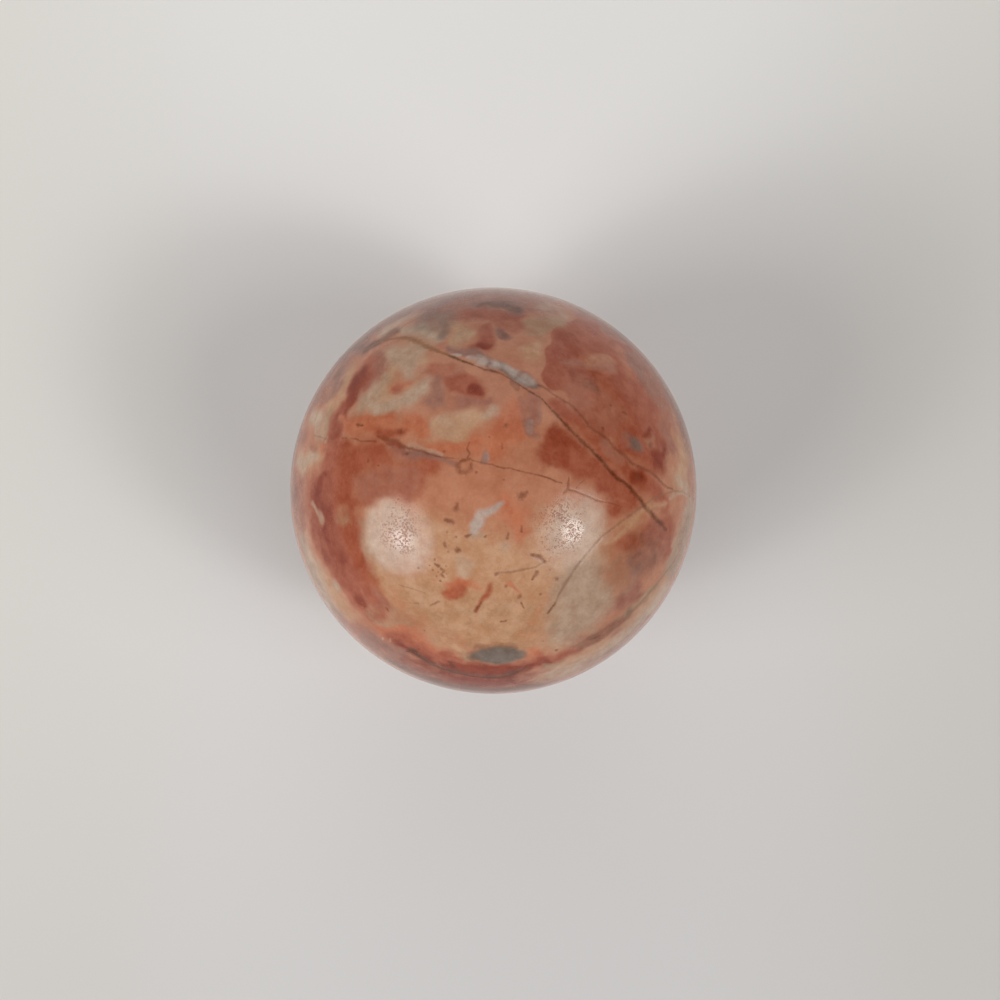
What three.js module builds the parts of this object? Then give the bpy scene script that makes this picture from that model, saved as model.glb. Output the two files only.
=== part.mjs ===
// A decorative stone sphere: one solid ball of polished stone, ground round, with a
// small flat ground on its underside so that it stands still on a shelf.
//
// Millimetres, +Z up. The origin is the centre of the flat that it stands on.

import * as THREE from "three";

// Driving dimensions
const BALL_DIAMETER = 50; // across the ball at its widest
const FLAT_DIAMETER = 9; // across the face that touches the shelf
const FLAT_EDGE_RADIUS = 0.6; // rounding where the flat meets the ball

// How finely the round surfaces are cut
const SIDES_ROUND_AXIS = 72; // a multiple of four, so the widths along X and Y are true
const BALL_ARC_STEP = THREE.MathUtils.degToRad(5);
const EDGE_ARC_STEPS = 4;

const ballRadius = BALL_DIAMETER / 2;
const flatRadius = FLAT_DIAMETER / 2;

// The edge's arc touches the flat and touches the ball from inside, so its centre is
// one edge radius above the flat and one edge radius inside the ball.
const edgeCentreToBallCentre = ballRadius - FLAT_EDGE_RADIUS;
const ballCentreHeight =
  FLAT_EDGE_RADIUS + Math.sqrt(edgeCentreToBallCentre ** 2 - flatRadius ** 2);

const STRAIGHT_DOWN = -Math.PI / 2;
const LEVEL = 0;
const STRAIGHT_UP = Math.PI / 2;
// where the edge's arc gives way to the ball, seen from either centre
const edgeMeetsBall = Math.atan2(FLAT_EDGE_RADIUS - ballCentreHeight, flatRadius);

// Points on an arc in the profile's plane, first and last included. x is the distance
// from the ball's upright axis and y the height above the shelf.
function arcPoints(centreX, centreY, radius, fromAngle, toAngle, steps) {
  const points = [];
  for (let i = 0; i <= steps; i += 1) {
    const angle = THREE.MathUtils.lerp(fromAngle, toAngle, i / steps);
    points.push(
      new THREE.Vector2(
        centreX + radius * Math.cos(angle),
        centreY + radius * Math.sin(angle),
      ),
    );
  }
  return points;
}

function stepsFor(fromAngle, toAngle) {
  return Math.ceil((toAngle - fromAngle) / BALL_ARC_STEP);
}

// Half of the ball's outline, from the middle of the flat up to the crown
function ballProfile() {
  const middleOfFlat = new THREE.Vector2(0, 0);
  const crown = new THREE.Vector2(0, ballCentreHeight + ballRadius);
  const flatEdge = arcPoints(
    flatRadius,
    FLAT_EDGE_RADIUS,
    FLAT_EDGE_RADIUS,
    STRAIGHT_DOWN,
    edgeMeetsBall,
    EDGE_ARC_STEPS,
  );
  const belowWidest = arcPoints(
    0,
    ballCentreHeight,
    ballRadius,
    edgeMeetsBall,
    LEVEL,
    stepsFor(edgeMeetsBall, LEVEL),
  );
  const aboveWidest = arcPoints(
    0,
    ballCentreHeight,
    ballRadius,
    LEVEL,
    STRAIGHT_UP,
    stepsFor(LEVEL, STRAIGHT_UP),
  );
  return [
    middleOfFlat,
    ...flatEdge,
    ...belowWidest.slice(1), // its first point is the edge's last
    ...aboveWidest.slice(1, -1), // its last point is the crown
    crown,
  ];
}

function stoneSphere() {
  const geometry = new THREE.LatheGeometry(ballProfile(), SIDES_ROUND_AXIS);
  geometry.rotateX(STRAIGHT_UP); // the lathe turns about Y, and the ball stands along Z
  const material = new THREE.MeshStandardMaterial({
    name: "polished_stone",
    color: 0xb27560, // the mean of its brick red, orange and buff
    roughness: 0.25,
    metalness: 0,
  });
  const mesh = new THREE.Mesh(geometry, material);
  mesh.name = "stone_sphere";
  return mesh;
}

const decorativeSphere = new THREE.Group();
decorativeSphere.name = "decorative_sphere";
decorativeSphere.add(stoneSphere());

export default decorativeSphere;
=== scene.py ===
"""A polished ball of natural stone, 50 mm across, on a plain pale floor, seen from above."""

import math

import bpy
import numpy as np
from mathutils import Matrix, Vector
from mathutils.kdtree import KDTree


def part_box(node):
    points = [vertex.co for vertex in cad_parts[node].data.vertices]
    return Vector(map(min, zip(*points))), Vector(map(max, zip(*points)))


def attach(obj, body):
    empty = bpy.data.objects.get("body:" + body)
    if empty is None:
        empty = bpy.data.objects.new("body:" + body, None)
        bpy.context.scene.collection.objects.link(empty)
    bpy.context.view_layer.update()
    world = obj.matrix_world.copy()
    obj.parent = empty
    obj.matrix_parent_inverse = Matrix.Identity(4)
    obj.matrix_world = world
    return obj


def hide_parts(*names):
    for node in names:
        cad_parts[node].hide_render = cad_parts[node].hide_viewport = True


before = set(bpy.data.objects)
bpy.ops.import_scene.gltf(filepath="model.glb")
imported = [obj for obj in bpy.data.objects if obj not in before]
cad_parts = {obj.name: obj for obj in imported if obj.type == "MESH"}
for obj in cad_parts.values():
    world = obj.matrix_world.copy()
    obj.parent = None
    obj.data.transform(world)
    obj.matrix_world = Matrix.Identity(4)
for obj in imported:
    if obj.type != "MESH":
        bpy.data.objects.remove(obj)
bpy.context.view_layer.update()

MM = 0.001

# The ball, as the frame gives it
LOW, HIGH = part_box("stone_sphere")
BALL_RADIUS = (HIGH.x - LOW.x) / 2
BALL_CENTRE = Vector((0, 0, HIGH.z - BALL_RADIUS))
RADIUS_MM = BALL_RADIUS / MM
FLAT_HEIGHT = -BALL_CENTRE.z / MM  # millimetres from the ball's centre

# The photograph's camera looks straight down
PHOTO_WIDTH_PX = 1000
FOCAL_LENGTH_PX = 1082
SENSOR_MM = 36
LENS_ABOVE_CENTRE = 135.5 * MM
LENS_TO_THE_RIGHT = 0.81 * MM
LENS_TO_THE_FRONT = 1.13 * MM

# Soft lamps: the side that each is on, its width, height and distance in millimetres, and
# how bright it is. The cores are the brighter middles of the two large lamps.
LAMPS = {
    "left_lamp": ((-0.76, -0.37, 0.55), (400, 410, 600), 5.35),
    "left_core": ((-0.732, -0.398, 0.57), (105, 105, 599), 14.5),
    "right_lamp": ((0.65, -0.33, 0.67), (450, 370, 600), 3.82),
    "right_core": ((0.65, -0.33, 0.67), (115, 115, 599), 17),
    "back_panel": ((0.0, 0.92, 0.40), (560, 330, 270), 0.76),
}
ROOM_LIGHT = 0.035
ROOM_TINT = (1.0, 0.99, 0.975)
BACKDROP = (0.74, 0.73, 0.71)

FLOOR_RADIUS = 600 * MM
FLOOR_SIDES = 96
PAPER_ROUGHNESS = 0.8
# Painted shade and light on the paper, for how the lamps light it: darker at the front right and lighter
# at the back left
FLOOR_SHADED_AND_LIT_TONES = ((0.64, 0.622, 0.612), (0.848, 0.832, 0.81))
PAINTED_FALLOFF_WAY = (-0.45, 0.89, 0)  # the way from the darker part to the paler
PAINTED_FALLOFF_REACH = 110 * MM  # how far the change reaches to either side of the middle
# Painted shade darkens it to the left and right, between these two distances from the middle
SIDE_PAINTED_SHADE = (0.93, 0.92, 0.885)
SIDES = (25 * MM, 80 * MM)
# Farther out than the photograph shows, the paper gives way to the backdrop
FLOOR_SEEN_TO = 150 * MM
BACKDROP_FROM = 280 * MM

# How finely the ball is meshed. The lengths are in millimetres.
BALL_SUBDIVISIONS = 7
FINE_CAP = 26  # the faces are finer up to this far from the crown
FINE_BESIDE_LINES = 0.4  # and finer still this close to a line
SLIVER = 0.12  # shorter edges beside the flat are merged
FLAT_RING = 0.5  # the width of the ring of faces round the flat
ROUND_FROM = FLAT_HEIGHT + 0.5  # the surface above this height is round

# The stone's minerals, from the one that lies lowest to the one that lies on top. Each has a
# dark and a light tone, how ragged its outline is, and how much the hidden sides have of it.
MINERALS = {
    "buff": ((0.52, 0.255, 0.132), (0.62, 0.355, 0.212), 0.5, -0.1),
    "orange": ((0.50, 0.145, 0.07), (0.60, 0.21, 0.11), 0.5, -0.8),
    "olive": ((0.33, 0.20, 0.11), (0.46, 0.29, 0.17), 0.4, -1.6),
    "rose": ((0.34, 0.115, 0.07), (0.44, 0.18, 0.12), 0.4, -0.9),
    "brick": ((0.355, 0.08, 0.038), (0.45, 0.13, 0.07), 0.4, 0.0),
    "blood": ((0.22, 0.025, 0.008), (0.30, 0.05, 0.018), 0.5, -1.3),
    "mauve": ((0.28, 0.12, 0.085), (0.37, 0.18, 0.135), 0.4, -1.5),
    "cream": ((0.47, 0.29, 0.19), (0.60, 0.41, 0.29), 0.4, -1.5),
    "grey": ((0.155, 0.11, 0.085), (0.22, 0.168, 0.132), 0.1, -1.9),
    "umber": ((0.13, 0.035, 0.014), (0.21, 0.078, 0.042), 0.3, -2.4),
    "milk": ((0.44, 0.34, 0.28), (0.60, 0.48, 0.41), 0.3, -3.5),
}
GROUND_TONES = ((0.49, 0.185, 0.10), (0.58, 0.25, 0.145))

# Broad markings on the side that shows, painted one over another. Each has its mineral, how
# far its edge fades, how much of it covers what lies below, and its route. Each place on a
# route is how far right of the crown it lies, how far beyond it, and half the width there,
# all in millimetres over the surface.
MARKINGS = [
    # the wide fields
    ("buff", 2.2, 1, [(-11, -6.5, 5), (-3, -11, 7), (6, -14, 6.5)]),
    # The pale buff and cream under the two lamp highlights, and the faint rose in the left one, are
    # partly the stone's own fields and partly painted highlight, their tones matched to the highlights'
    # pale pink
    ("buff", 2.0, 0.8, [(8, -6, 4.5)]),
    ("cream", 1.5, 0.55, [(-11, -5.5, 3.6)]),
    ("rose", 2, 0.25, [(-10, -6, 2.5)]),
    ("olive", 2.5, 0.22, [(-6, -14.5, 2.5), (0, -16.5, 3), (5, -15.5, 2)]),
    ("cream", 1.5, 0.6, [(9, -4.5, 3)]),
    ("cream", 1.6, 0.75, [(9.5, -9, 2.5), (10.5, -14, 3.5), (8.5, -17, 2.5)]),
    ("grey", 2.5, 0.18, [(10.2, -12, 2.2), (10.5, -15, 2.5)]),
    # the brick red at the left, and down the left side
    ("brick", 0.8, 1, [(-18.5, 2.8, 3), (-14, 3.0, 2.7), (-9, 2.6, 1.6), (-6.5, 2.2, 0.9)]),
    ("brick", 1.2, 0.9, [(-18.5, 0, 3), (-13.5, 1, 2.2), (-8.5, 0.8, 1.4)]),
    ("brick", 1.2, 0.9, [(-18, -1, 2.4), (-17, -5, 2.2)]),
    ("rose", 1.2, 0.5, [(-14, 0.5, 1.6), (-9, 1.2, 1.5)]),
    ("brick", 1.0, 1, [(-22.5, 0, 2.2), (-21, -3, 3.6), (-20, -7, 3.6), (-17.5, -11, 2.6)]),
    ("brick", 0.9, 1, [(-20, -5, 4.2), (-18, -8.5, 4), (-16.5, -11.5, 3), (-15, -14, 2.2)]),
    ("blood", 1.5, 0.35, [(-22.5, -4, 1.5), (-21, -7.5, 1.3)]),
    ("blood", 0.8, 1, [(-22.4, -2, 0.7), (-22.2, -0.2, 1.1), (-21.3, 1.3, 0.8)]),
    ("blood", 1, 0.5, [(-21.4, -1.3, 1.5), (-20.6, -4.5, 1.4), (-19, -8.5, 1.2)]),
    ("blood", 0.5, 0.7, [(-20.6, 1.9, 0.6)]),
    ("blood", 0.4, 0.6, [(-20.5, -6.3, 0.5), (-19, -6.6, 0.4)]),
    ("blood", 0.4, 0.6, [(-20, -7.9, 0.35), (-18.7, -8.3, 0.35)]),
    ("olive", 1, 0.4, [(-17.6, -3.2, 0.9)]),
    ("rose", 0.5, 0.6, [(-22.9, -2.2, 0.3), (-22.2, -3.2, 0.45), (-22.1, -4.2, 0.3)]),
    ("cream", 0.6, 0.4, [(-22.9, -2.1, 0.2), (-22.3, -2.7, 0.28), (-22.1, -3.9, 0.2)]),
    # the lower left
    ("brick", 1, 0.8, [(-18, -12, 1.2), (-16.9, -14.5, 1.0), (-15.8, -16.2, 0.8)]),
    ("blood", 0.5, 0.5, [(-16.8, -13.6, 0.6)]),
    ("rose", 0.8, 0.6, [(-14.5, -12.6, 1.3), (-13, -13.5, 1)]),
    ("brick", 0.8, 0.75, [(-15.6, -11.5, 1.3), (-14.6, -13.4, 0.9)]),
    ("olive", 1, 0.35, [(-14.5, -15.5, 1.5), (-11, -15.5, 1)]),
    ("orange", 0.7, 0.85, [(-14, -18, 1), (-11.5, -17.7, 1.2), (-9, -18.9, 1.2), (-7, -20.9, 1.1)]),
    ("brick", 0.7, 0.75, [(-13, -18.9, 0.8), (-11.2, -18.8, 1.3), (-9.2, -20, 1.2), (-7, -21.8, 1)]),
    ("orange", 0.4, 0.6, [(-13.6, -17.8, 0.4), (-12.2, -17.3, 0.4)]),
    ("orange", 0.5, 0.5, [(-9.2, -18.6, 0.6)]),
    ("blood", 0.7, 0.7, [(-12.3, -20.2, 0.8), (-10, -21.2, 0.9), (-7.5, -22.8, 0.9)]),
    ("orange", 0.5, 0.8, [(-14.3, -17.9, 0.6)]),
    ("rose", 1.5, 0.9, [(-19, -20, 1.8), (-14.5, -22.5, 2)]),
    ("mauve", 1.5, 0.5, [(-12.2, -22.3, 0.7), (-14.5, -21.5, 1), (-17, -20.5, 1.2), (-18.5, -23, 1.6)]),
    ("buff", 1.5, 0.9, [(-24, -13, 2.5), (-22, -15.5, 2.6), (-19.5, -17, 1.3)]),
    ("mauve", 2, 0.5, [(-23, -19.5, 1.8), (-27, -14, 1)]),
    ("cream", 1.5, 0.7, [(-27, -8, 2), (-26, -12, 2.5), (-25, -17, 2)]),
    ("cream", 0.8, 0.8, [(-20.6, -12.6, 0.9)]),
    ("cream", 0.12, 0.7, [(-14.5, -20.1, 0.08), (-14.3, -19.5, 0.12)]),
    ("cream", 0.12, 0.7, [(-13.5, -19.8, 0.06), (-13.1, -19.1, 0.1)]),
    # the left rim
    ("rose", 2, 0.8, [(-28, 0, 3), (-27, -3, 2.5)]),
    ("rose", 1.5, 0.8, [(-31, 8.5, 1.5), (-27, 7.3, 1)]),
    ("mauve", 2.5, 0.7, [(-33, 6, 2.5), (-34, -2, 3)]),
    ("umber", 2.5, 0.25, [(-30, -2, 1.5), (-29, -10, 1.5), (-26, -18, 1.5)]),
    ("buff", 1, 0.9, [(-28, 4.5, 1), (-25.5, 3.8, 1.7), (-22.6, 4.4, 1.2)]),
    ("cream", 0.8, 0.7, [(-28, 4.3, 0.8), (-26, 3.6, 1.2), (-23.5, 4.4, 0.9)]),
    ("cream", 0.8, 0.9, [(-25.8, 10.6, 1), (-23.6, 9.4, 1.3), (-22, 7.8, 0.9)]),
    ("cream", 0.5, 0.5, [(-20.4, 6.1, 0.5)]),
    ("rose", 0.6, 0.6, [(-24, 5.6, 0.9)]),
    ("orange", 0.6, 0.7, [(-21.6, 5.6, 0.8)]),
    ("buff", 1, 0.6, [(-21, 11.5, 1.2), (-20, 11.2, 1)]),
    ("olive", 1, 0.45, [(-21.5, 7.6, 1.2), (-21, 9.5, 1)]),
    # the upper left
    ("mauve", 2, 0.75, [
        (-8, 28.5, 2), (-14, 26.5, 2.2), (-20, 23.5, 2.2), (-24.5, 19, 2), (-26.5, 14, 1.8),
    ]),
    ("rose", 1.5, 0.7, [(-22.5, 15, 1.2), (-20.5, 18.5, 1)]),
    ("buff", 1, 0.95, [
        (-8.8, 14.5, 1.3), (-9.5, 16.5, 2), (-12.5, 16, 1.7), (-13, 12, 1.6), (-10, 10.8, 1.8),
        (-14.5, 9.5, 1.2),
    ]),
    ("buff", 1.2, 0.7, [(-19.3, 15.5, 1.2), (-19.5, 13, 1.2)]),
    ("orange", 0.9, 0.8, [(-14.8, 16, 1), (-14, 14.3, 0.9)]),
    ("mauve", 1.2, 0.7, [(-21.5, 17, 1.2), (-21, 14.5, 1), (-22.5, 12.8, 0.8)]),
    ("rose", 1.5, 0.7, [(-24.5, 14.5, 1.5), (-23, 13, 1)]),
    ("mauve", 0.9, 0.9, [(-24.5, 23.3, 1), (-21, 21.3, 1), (-18.5, 20, 1.3), (-16, 19.2, 0.7)]),
    ("umber", 0.8, 0.5, [(-13, 21.3, 0.5), (-15.5, 19.9, 0.6), (-17, 19.2, 0.7)]),
    ("umber", 1, 0.35, [(-19, 21.5, 1), (-22, 22.5, 0.8)]),
    ("umber", 0.8, 0.3, [(-22, 16.8, 0.8)]),
    ("cream", 0.8, 0.65, [(-15.3, 21.8, 0.8), (-13, 23.4, 0.9), (-10.5, 24.8, 0.8)]),
    ("cream", 1, 0.75, [(-15.5, 9.7, 0.9), (-14, 11.5, 1), (-12.5, 13.2, 0.7)]),
    ("cream", 0.9, 0.75, [(-14.5, 9.6, 0.9), (-11.5, 9.6, 0.9), (-8.6, 10, 1), (-7.8, 11.3, 0.8)]),
    ("cream", 1.2, 0.55, [(-13, 16.5, 1.2), (-10, 16, 1.6), (-9.3, 13.8, 0.8)]),
    ("rose", 0.9, 0.8, [(-14.6, 17.2, 1.2), (-13.9, 14.6, 1.2), (-15.5, 12, 0.9)]),
    ("brick", 0.6, 1, [(-15.9, 16.3, 1.3), (-16.5, 14.3, 2), (-17.1, 11.9, 1.4), (-18.5, 9.8, 1.3)]),
    ("brick", 0.6, 1, [(-18.5, 9.8, 1.3), (-19.4, 8, 1.5), (-19.3, 6, 1.7)]),
    ("blood", 0.8, 0.65, [(-16.3, 15.4, 1), (-16.9, 13.5, 1.4), (-17.6, 11, 0.9)]),
    ("blood", 0.8, 0.35, [(-18.5, 9.3, 0.8), (-19.2, 8.0, 0.8), (-19, 6.8, 0.8)]),
    ("orange", 0.7, 0.7, [(-11.2, 11.8, 0.5), (-10, 12, 0.6)]),
    ("brick", 0.4, 0.5, [(-10.8, 11.6, 0.4)]),
    ("orange", 0.6, 1, [(-18.5, 9, 0.7), (-16.5, 7.6, 0.9), (-13.5, 7.4, 1.1), (-11, 8, 0.9)]),
    ("orange", 0.6, 1, [(-13, 6.8, 0.7), (-10.5, 6.9, 0.6), (-8.2, 6.9, 1.1), (-7.3, 6.2, 0.6)]),
    ("brick", 0.5, 0.8, [(-12.5, 6.3, 0.5), (-10, 6.2, 0.5)]),
    ("orange", 0.5, 0.6, [(-7.2, 13.6, 0.9), (-5.2, 13.3, 1.1)]),
    ("rose", 0.6, 0.35, [(-6.8, 13.3, 0.9), (-4.5, 13.2, 0.9)]),
    ("mauve", 0.9, 0.55, [(-6, 11.4, 0.7), (-6, 10, 0.9)]),
    ("rose", 0.8, 0.7, [(-3.5, 9.2, 0.8), (-0.5, 9, 0.8)]),
    ("brick", 0.5, 1, [(-4.2, 12.2, 0.9), (-2.6, 11.3, 1.4), (-1.7, 10.6, 1)]),
    ("blood", 0.4, 0.6, [(-1.7, 10.8, 0.7)]),
    ("buff", 0.7, 1, [(-5.4, 6.6, 1.3), (-3.5, 7, 1.6), (-1.6, 7.4, 1.1)]),
    ("cream", 0.9, 0.3, [(-5.3, 6.8, 1), (-4, 6.8, 1)]),
    ("cream", 0.5, 0.6, [(-0.8, 7.6, 0.4), (0.4, 8.2, 0.4)]),
    # the middle
    ("orange", 0.9, 1, [(0.6, 4.6, 1.3), (2, 6.5, 1.7), (2.6, 8.6, 1)]),
    ("orange", 0.5, 0.8, [(-6, 4.3, 0.6), (-4, 4.6, 0.6), (-1, 4.6, 0.5)]),
    ("orange", 0.9, 0.7, [(1.5, -1.3, 0.7), (2.3, -2.5, 0.9), (3, -4, 0.6)]),
    ("rose", 0.7, 0.8, [(-11, 4.6, 0.7), (-8, 3.4, 0.8)]),
    ("cream", 0.3, 0.35, [(-9, 4.8, 0.15), (-7, 4.2, 0.2), (-5.2, 3.6, 0.15)]),
    ("mauve", 0.4, 0.75, [(-9.8, 4.5, 0.3), (-7.4, 3.6, 0.5), (-5, 3, 0.35), (-4, 2.8, 0.2)]),
    ("blood", 0.35, 0.4, [(-12.3, 5.9, 0.2), (-11, 5.2, 0.25), (-9.4, 4.3, 0.25)]),
    ("mauve", 0.3, 0.6, [(-0.55, 3.45, 0.55)]),
    ("milk", 0.35, 0.3, [(-0.55, 3.45, 0.4)]),
    ("cream", 0.5, 0.6, [(-1.4, -5.2, 0.4)]),
    ("milk", 0.35, 0.6, [
        (-1.7, -4.7, 0.25), (-1.55, -3.7, 0.6), (-0.95, -2.75, 0.62), (0, -2.15, 0.42),
        (1.2, -1.75, 0.15),
    ]),
    ("orange", 0.5, 0.9, [
        (-5.3, -11.6, 0.6), (-4.2, -10.8, 0.95), (-2.9, -10.5, 0.95), (-1.8, -10.2, 0.5),
    ]),
    ("brick", 0.4, 0.5, [(-5.2, -11.7, 0.5), (-4, -11.2, 0.65), (-2.7, -10.9, 0.4)]),
    ("brick", 0.35, 0.55, [(-0.2, -10, 0.2), (-0.5, -11.2, 0.35), (-1, -12.4, 0.3), (-1.7, -13.5, 0.15)]),
    ("orange", 0.3, 0.5, [(1.4, -10.4, 0.15), (2.6, -11, 0.2)]),
    ("orange", 1, 0.3, [(5.8, -12.8, 0.8)]),
    ("orange", 1.5, 0.3, [(5.2, -17, 1.1)]),
    ("cream", 0.7, 0.5, [(-3, -8.2, 1)]),
    ("cream", 0.6, 0.5, [(1, -6.3, 0.4)]),
    # the brick red right of the fork, its crisp left edge, and the dark patch below it
    ("brick", 1.0, 1, [(12.5, 15, 5), (14.5, 19, 5.5), (16, 21, 5)]),
    ("brick", 1.0, 1, [(12, 9.5, 3.5), (17, 10, 5.5), (20.5, 8.5, 3.5)]),
    ("brick", 1.5, 0.9, [(20, 13, 4.5), (21, 16.5, 4), (17, 20, 4.5)]),
    ("brick", 1, 0.9, [(15, 4.8, 1.3), (18, 4.2, 1.5), (20.5, 3.2, 1.6)]),
    ("brick", 1, 0.9, [(17.5, 1.5, 1.5), (20, -0.3, 1.3), (21.5, -2.2, 1)]),
    ("brick", 0.25, 1, [
        (7.9, 13, 2.4), (8.7, 15.5, 2.4), (9.4, 18, 2.4), (11.5, 21, 2.2), (13.6, 23.5, 1.8),
    ]),
    ("brick", 0.8, 0.9, [(7, 9.3, 0.7), (9.5, 7, 1), (12.5, 4.5, 1.2), (15, 2.3, 1), (18, 0.6, 1.2)]),
    ("brick", 0.7, 1, [(5.8, 3.5, 1.4), (7, 5, 1.8), (8.5, 3.5, 2), (9.5, 2.5, 1.5)]),
    ("blood", 1.2, 0.3, [(6.4, 4, 1.4), (7.6, 5.4, 1)]),
    ("brick", 0.7, 0.9, [(11, 1.8, 1.6), (14, 0, 1.8), (16, -1, 1.2)]),
    ("blood", 0.8, 0.28, [(8.5, 15.5, 1), (9, 18, 1)]),
    ("blood", 0.8, 0.35, [(9.8, 13.2, 0.9), (11.5, 13.4, 0.9)]),
    ("umber", 0.5, 0.35, [(10.8, 11.8, 0.25), (12, 11.7, 0.4)]),
    ("rose", 2, 0.38, [(10.5, 11, 2), (13, 8.5, 2)]),
    ("rose", 0.5, 0.6, [(8, 14.9, 0.3), (11.5, 15.1, 0.5), (14.5, 15.4, 0.7)]),
    ("buff", 0.8, 0.45, [(11.5, 15.8, 0.4), (14.7, 16.2, 0.6)]),
    ("blood", 0.5, 1, [(16.6, 1.7, 0.8), (17.6, 1.5, 0.7)]),
    ("umber", 0.4, 0.35, [(17, 1.6, 0.5)]),
    ("rose", 0.6, 0.6, [(12.5, 5, 0.6), (14, 3.4, 0.6)]),
    ("rose", 0.5, 0.55, [(4.2, 9.6, 0.5), (4.1, 7.8, 0.8), (4, 6.5, 0.8)]),
    ("mauve", 0.3, 0.35, [(3.3, 9.8, 0.12), (3.1, 7.6, 0.2), (3.4, 6, 0.2), (4, 5.4, 0.2)]),
    ("mauve", 0.3, 0.35, [(4, 5.4, 0.2), (4.6, 6.1, 0.2), (5.1, 7.6, 0.15), (5, 9.3, 0.12)]),
    ("mauve", 0.4, 0.6, [(4, 6.4, 0.65)]),
    ("milk", 0.4, 0.3, [(4, 6.5, 0.4)]),
    # the right side
    ("blood", 0.9, 0.9, [(19.8, 3.6, 0.8), (21, 3.8, 1.1), (21.3, 5.2, 0.8)]),
    ("umber", 0.4, 0.4, [(19.2, 5.3, 0.3)]),
    ("mauve", 0.7, 0.5, [(16, 5.5, 0.6), (17.3, 5, 0.6)]),
    ("grey", 0.6, 0.45, [(16.7, 5.3, 0.65)]),
    ("olive", 0.6, 0.35, [(19, 6.2, 0.6)]),
    ("blood", 0.4, 0.6, [(18.4, 6.6, 0.3), (19.2, 7.2, 0.4)]),
    ("rose", 1, 0.7, [(12.8, 25, 1.2), (13.5, 26, 1)]),
    ("rose", 1, 0.7, [(16.5, 22.5, 1.2), (18.5, 22, 1)]),
    ("mauve", 1.5, 0.5, [(20, 17.5, 2), (22.5, 13.5, 1.8)]),
    ("rose", 2, 0.5, [(23.5, 10, 1.6), (22, 18, 1.6)]),
    ("rose", 1, 0.7, [(22.5, 8, 1.2), (23.5, 5.5, 1)]),
    ("orange", 1, 0.5, [(17.4, 19, 0.7), (17.8, 15, 0.6)]),
    ("buff", 1.5, 0.8, [(27, 6, 2), (26.5, 3, 1.6), (24.5, 1, 1.2)]),
    ("cream", 1, 0.7, [(25, 1.2, 0.8), (27, 0.2, 1)]),
    ("cream", 1.5, 0.7, [(29, -3, 2), (28, -6, 2.2), (26, -10, 2.5)]),
    ("olive", 2, 0.35, [(29, -6, 1.5), (26.5, -10, 1.5)]),
    ("grey", 2, 0.2, [(30, -6, 2), (27, -10, 2)]),
    ("umber", 2.5, 0.2, [(30, 12, 1.5), (31, 2, 1.5), (29, -12, 1.5)]),
    ("olive", 1.5, 0.6, [(27, 17, 1.8), (29, 14, 1.5)]),
    ("mauve", 2, 0.75, [(29.5, 9, 2), (25.5, 19.5, 2.2), (19, 25.5, 2.2), (14, 28.5, 2)]),
    # the lower right
    ("brick", 1, 0.75, [(15, -5.8, 1.1), (18, -6.4, 1.8), (21.8, -5.4, 2.2), (23, -8, 1.6)]),
    ("olive", 1.2, 0.15, [(16, -7, 1.5), (20, -8, 1.5)]),
    ("brick", 0.6, 0.8, [(13.5, -2.3, 0.9), (15.5, -2, 0.7)]),
    ("rose", 1, 0.55, [(17.5, -8.5, 1.4), (20, -9.5, 1.4)]),
    ("olive", 1.8, 0.2, [(13.8, -9, 1.4), (15.5, -11.5, 1.4)]),
    ("mauve", 1.5, 0.26, [(20.5, -6.4, 1.8), (18, -8, 1.6)]),
    ("grey", 1.8, 0.2, [(15.8, -10.3, 1.8)]),
    ("umber", 1.5, 0.22, [(16.8, -6.4, 1.2), (19.5, -8, 1.3)]),
    ("rose", 0.8, 0.7, [(18, -12.5, 1.5), (18.7, -14, 1), (16, -14, 1.5)]),
    ("rose", 0.8, 0.8, [(9.6, -20.9, 0.4), (12.5, -19.5, 0.8), (15, -18.2, 0.9)]),
    ("rose", 0.8, 0.7, [(15, -18.2, 0.9), (17.8, -16.6, 0.8), (20, -14.8, 0.6)]),
    ("olive", 0.8, 0.6, [(11, -20.3, 0.5), (15.5, -18, 0.9), (19.2, -15.5, 0.7)]),
    ("brick", 0.7, 0.45, [(12.5, -19.6, 0.5), (14.2, -18.7, 0.6), (17, -17.3, 0.6)]),
    ("umber", 0.8, 0.34, [(11.5, -20.1, 0.5), (15.5, -18, 0.6), (18, -16.6, 0.5)]),
    ("umber", 0.3, 0.8, [(13, -19.35, 0.15), (13.7, -19.05, 0.25)]),
    ("olive", 0.5, 0.9, [(19.5, -15, 0.5), (20.5, -14.2, 0.7), (22, -13, 0.5)]),
    ("olive", 0.6, 0.6, [(24, -11.5, 0.6), (25.5, -11, 0.7)]),
    ("buff", 1.5, 0.8, [(14, -21.3, 1.3), (18, -21, 1.8), (21, -17.5, 1.8), (24, -14, 1.8)]),
    ("cream", 2, 0.7, [(10, -26.5, 1.8), (16, -24, 2.2), (21, -20.5, 2.2), (25, -15.5, 2)]),
    ("mauve", 2, 0.45, [(14, -27, 1.5), (22, -21.5, 1.5)]),
    ("buff", 2, 0.7, [(9, -23.5, 0.8), (14, -21.5, 1.4)]),
    ("rose", 0.8, 0.6, [(17, -19.3, 0.7)]),
    ("rose", 1.5, 0.6, [(24, -19.5, 1)]),
    ("buff", 0.6, 0.75, [(12, -6.2, 0.5), (14.3, -4.8, 0.45), (17, -3.3, 0.45), (18.8, -2.6, 0.4)]),
    ("buff", 0.7, 0.6, [(19.2, -2.3, 0.5), (21, -1.8, 0.5)]),
    ("cream", 0.3, 0.8, [(22.5, -0.9, 0.15), (25, -0.5, 0.3), (27, -0.7, 0.3), (29, -1.3, 0.3)]),
    # the front edge, with the grey eye
    ("brick", 0.8, 0.6, [(-6, -20.8, 1), (-4.5, -21.6, 0.9), (-3, -22.3, 0.8)]),
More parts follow.
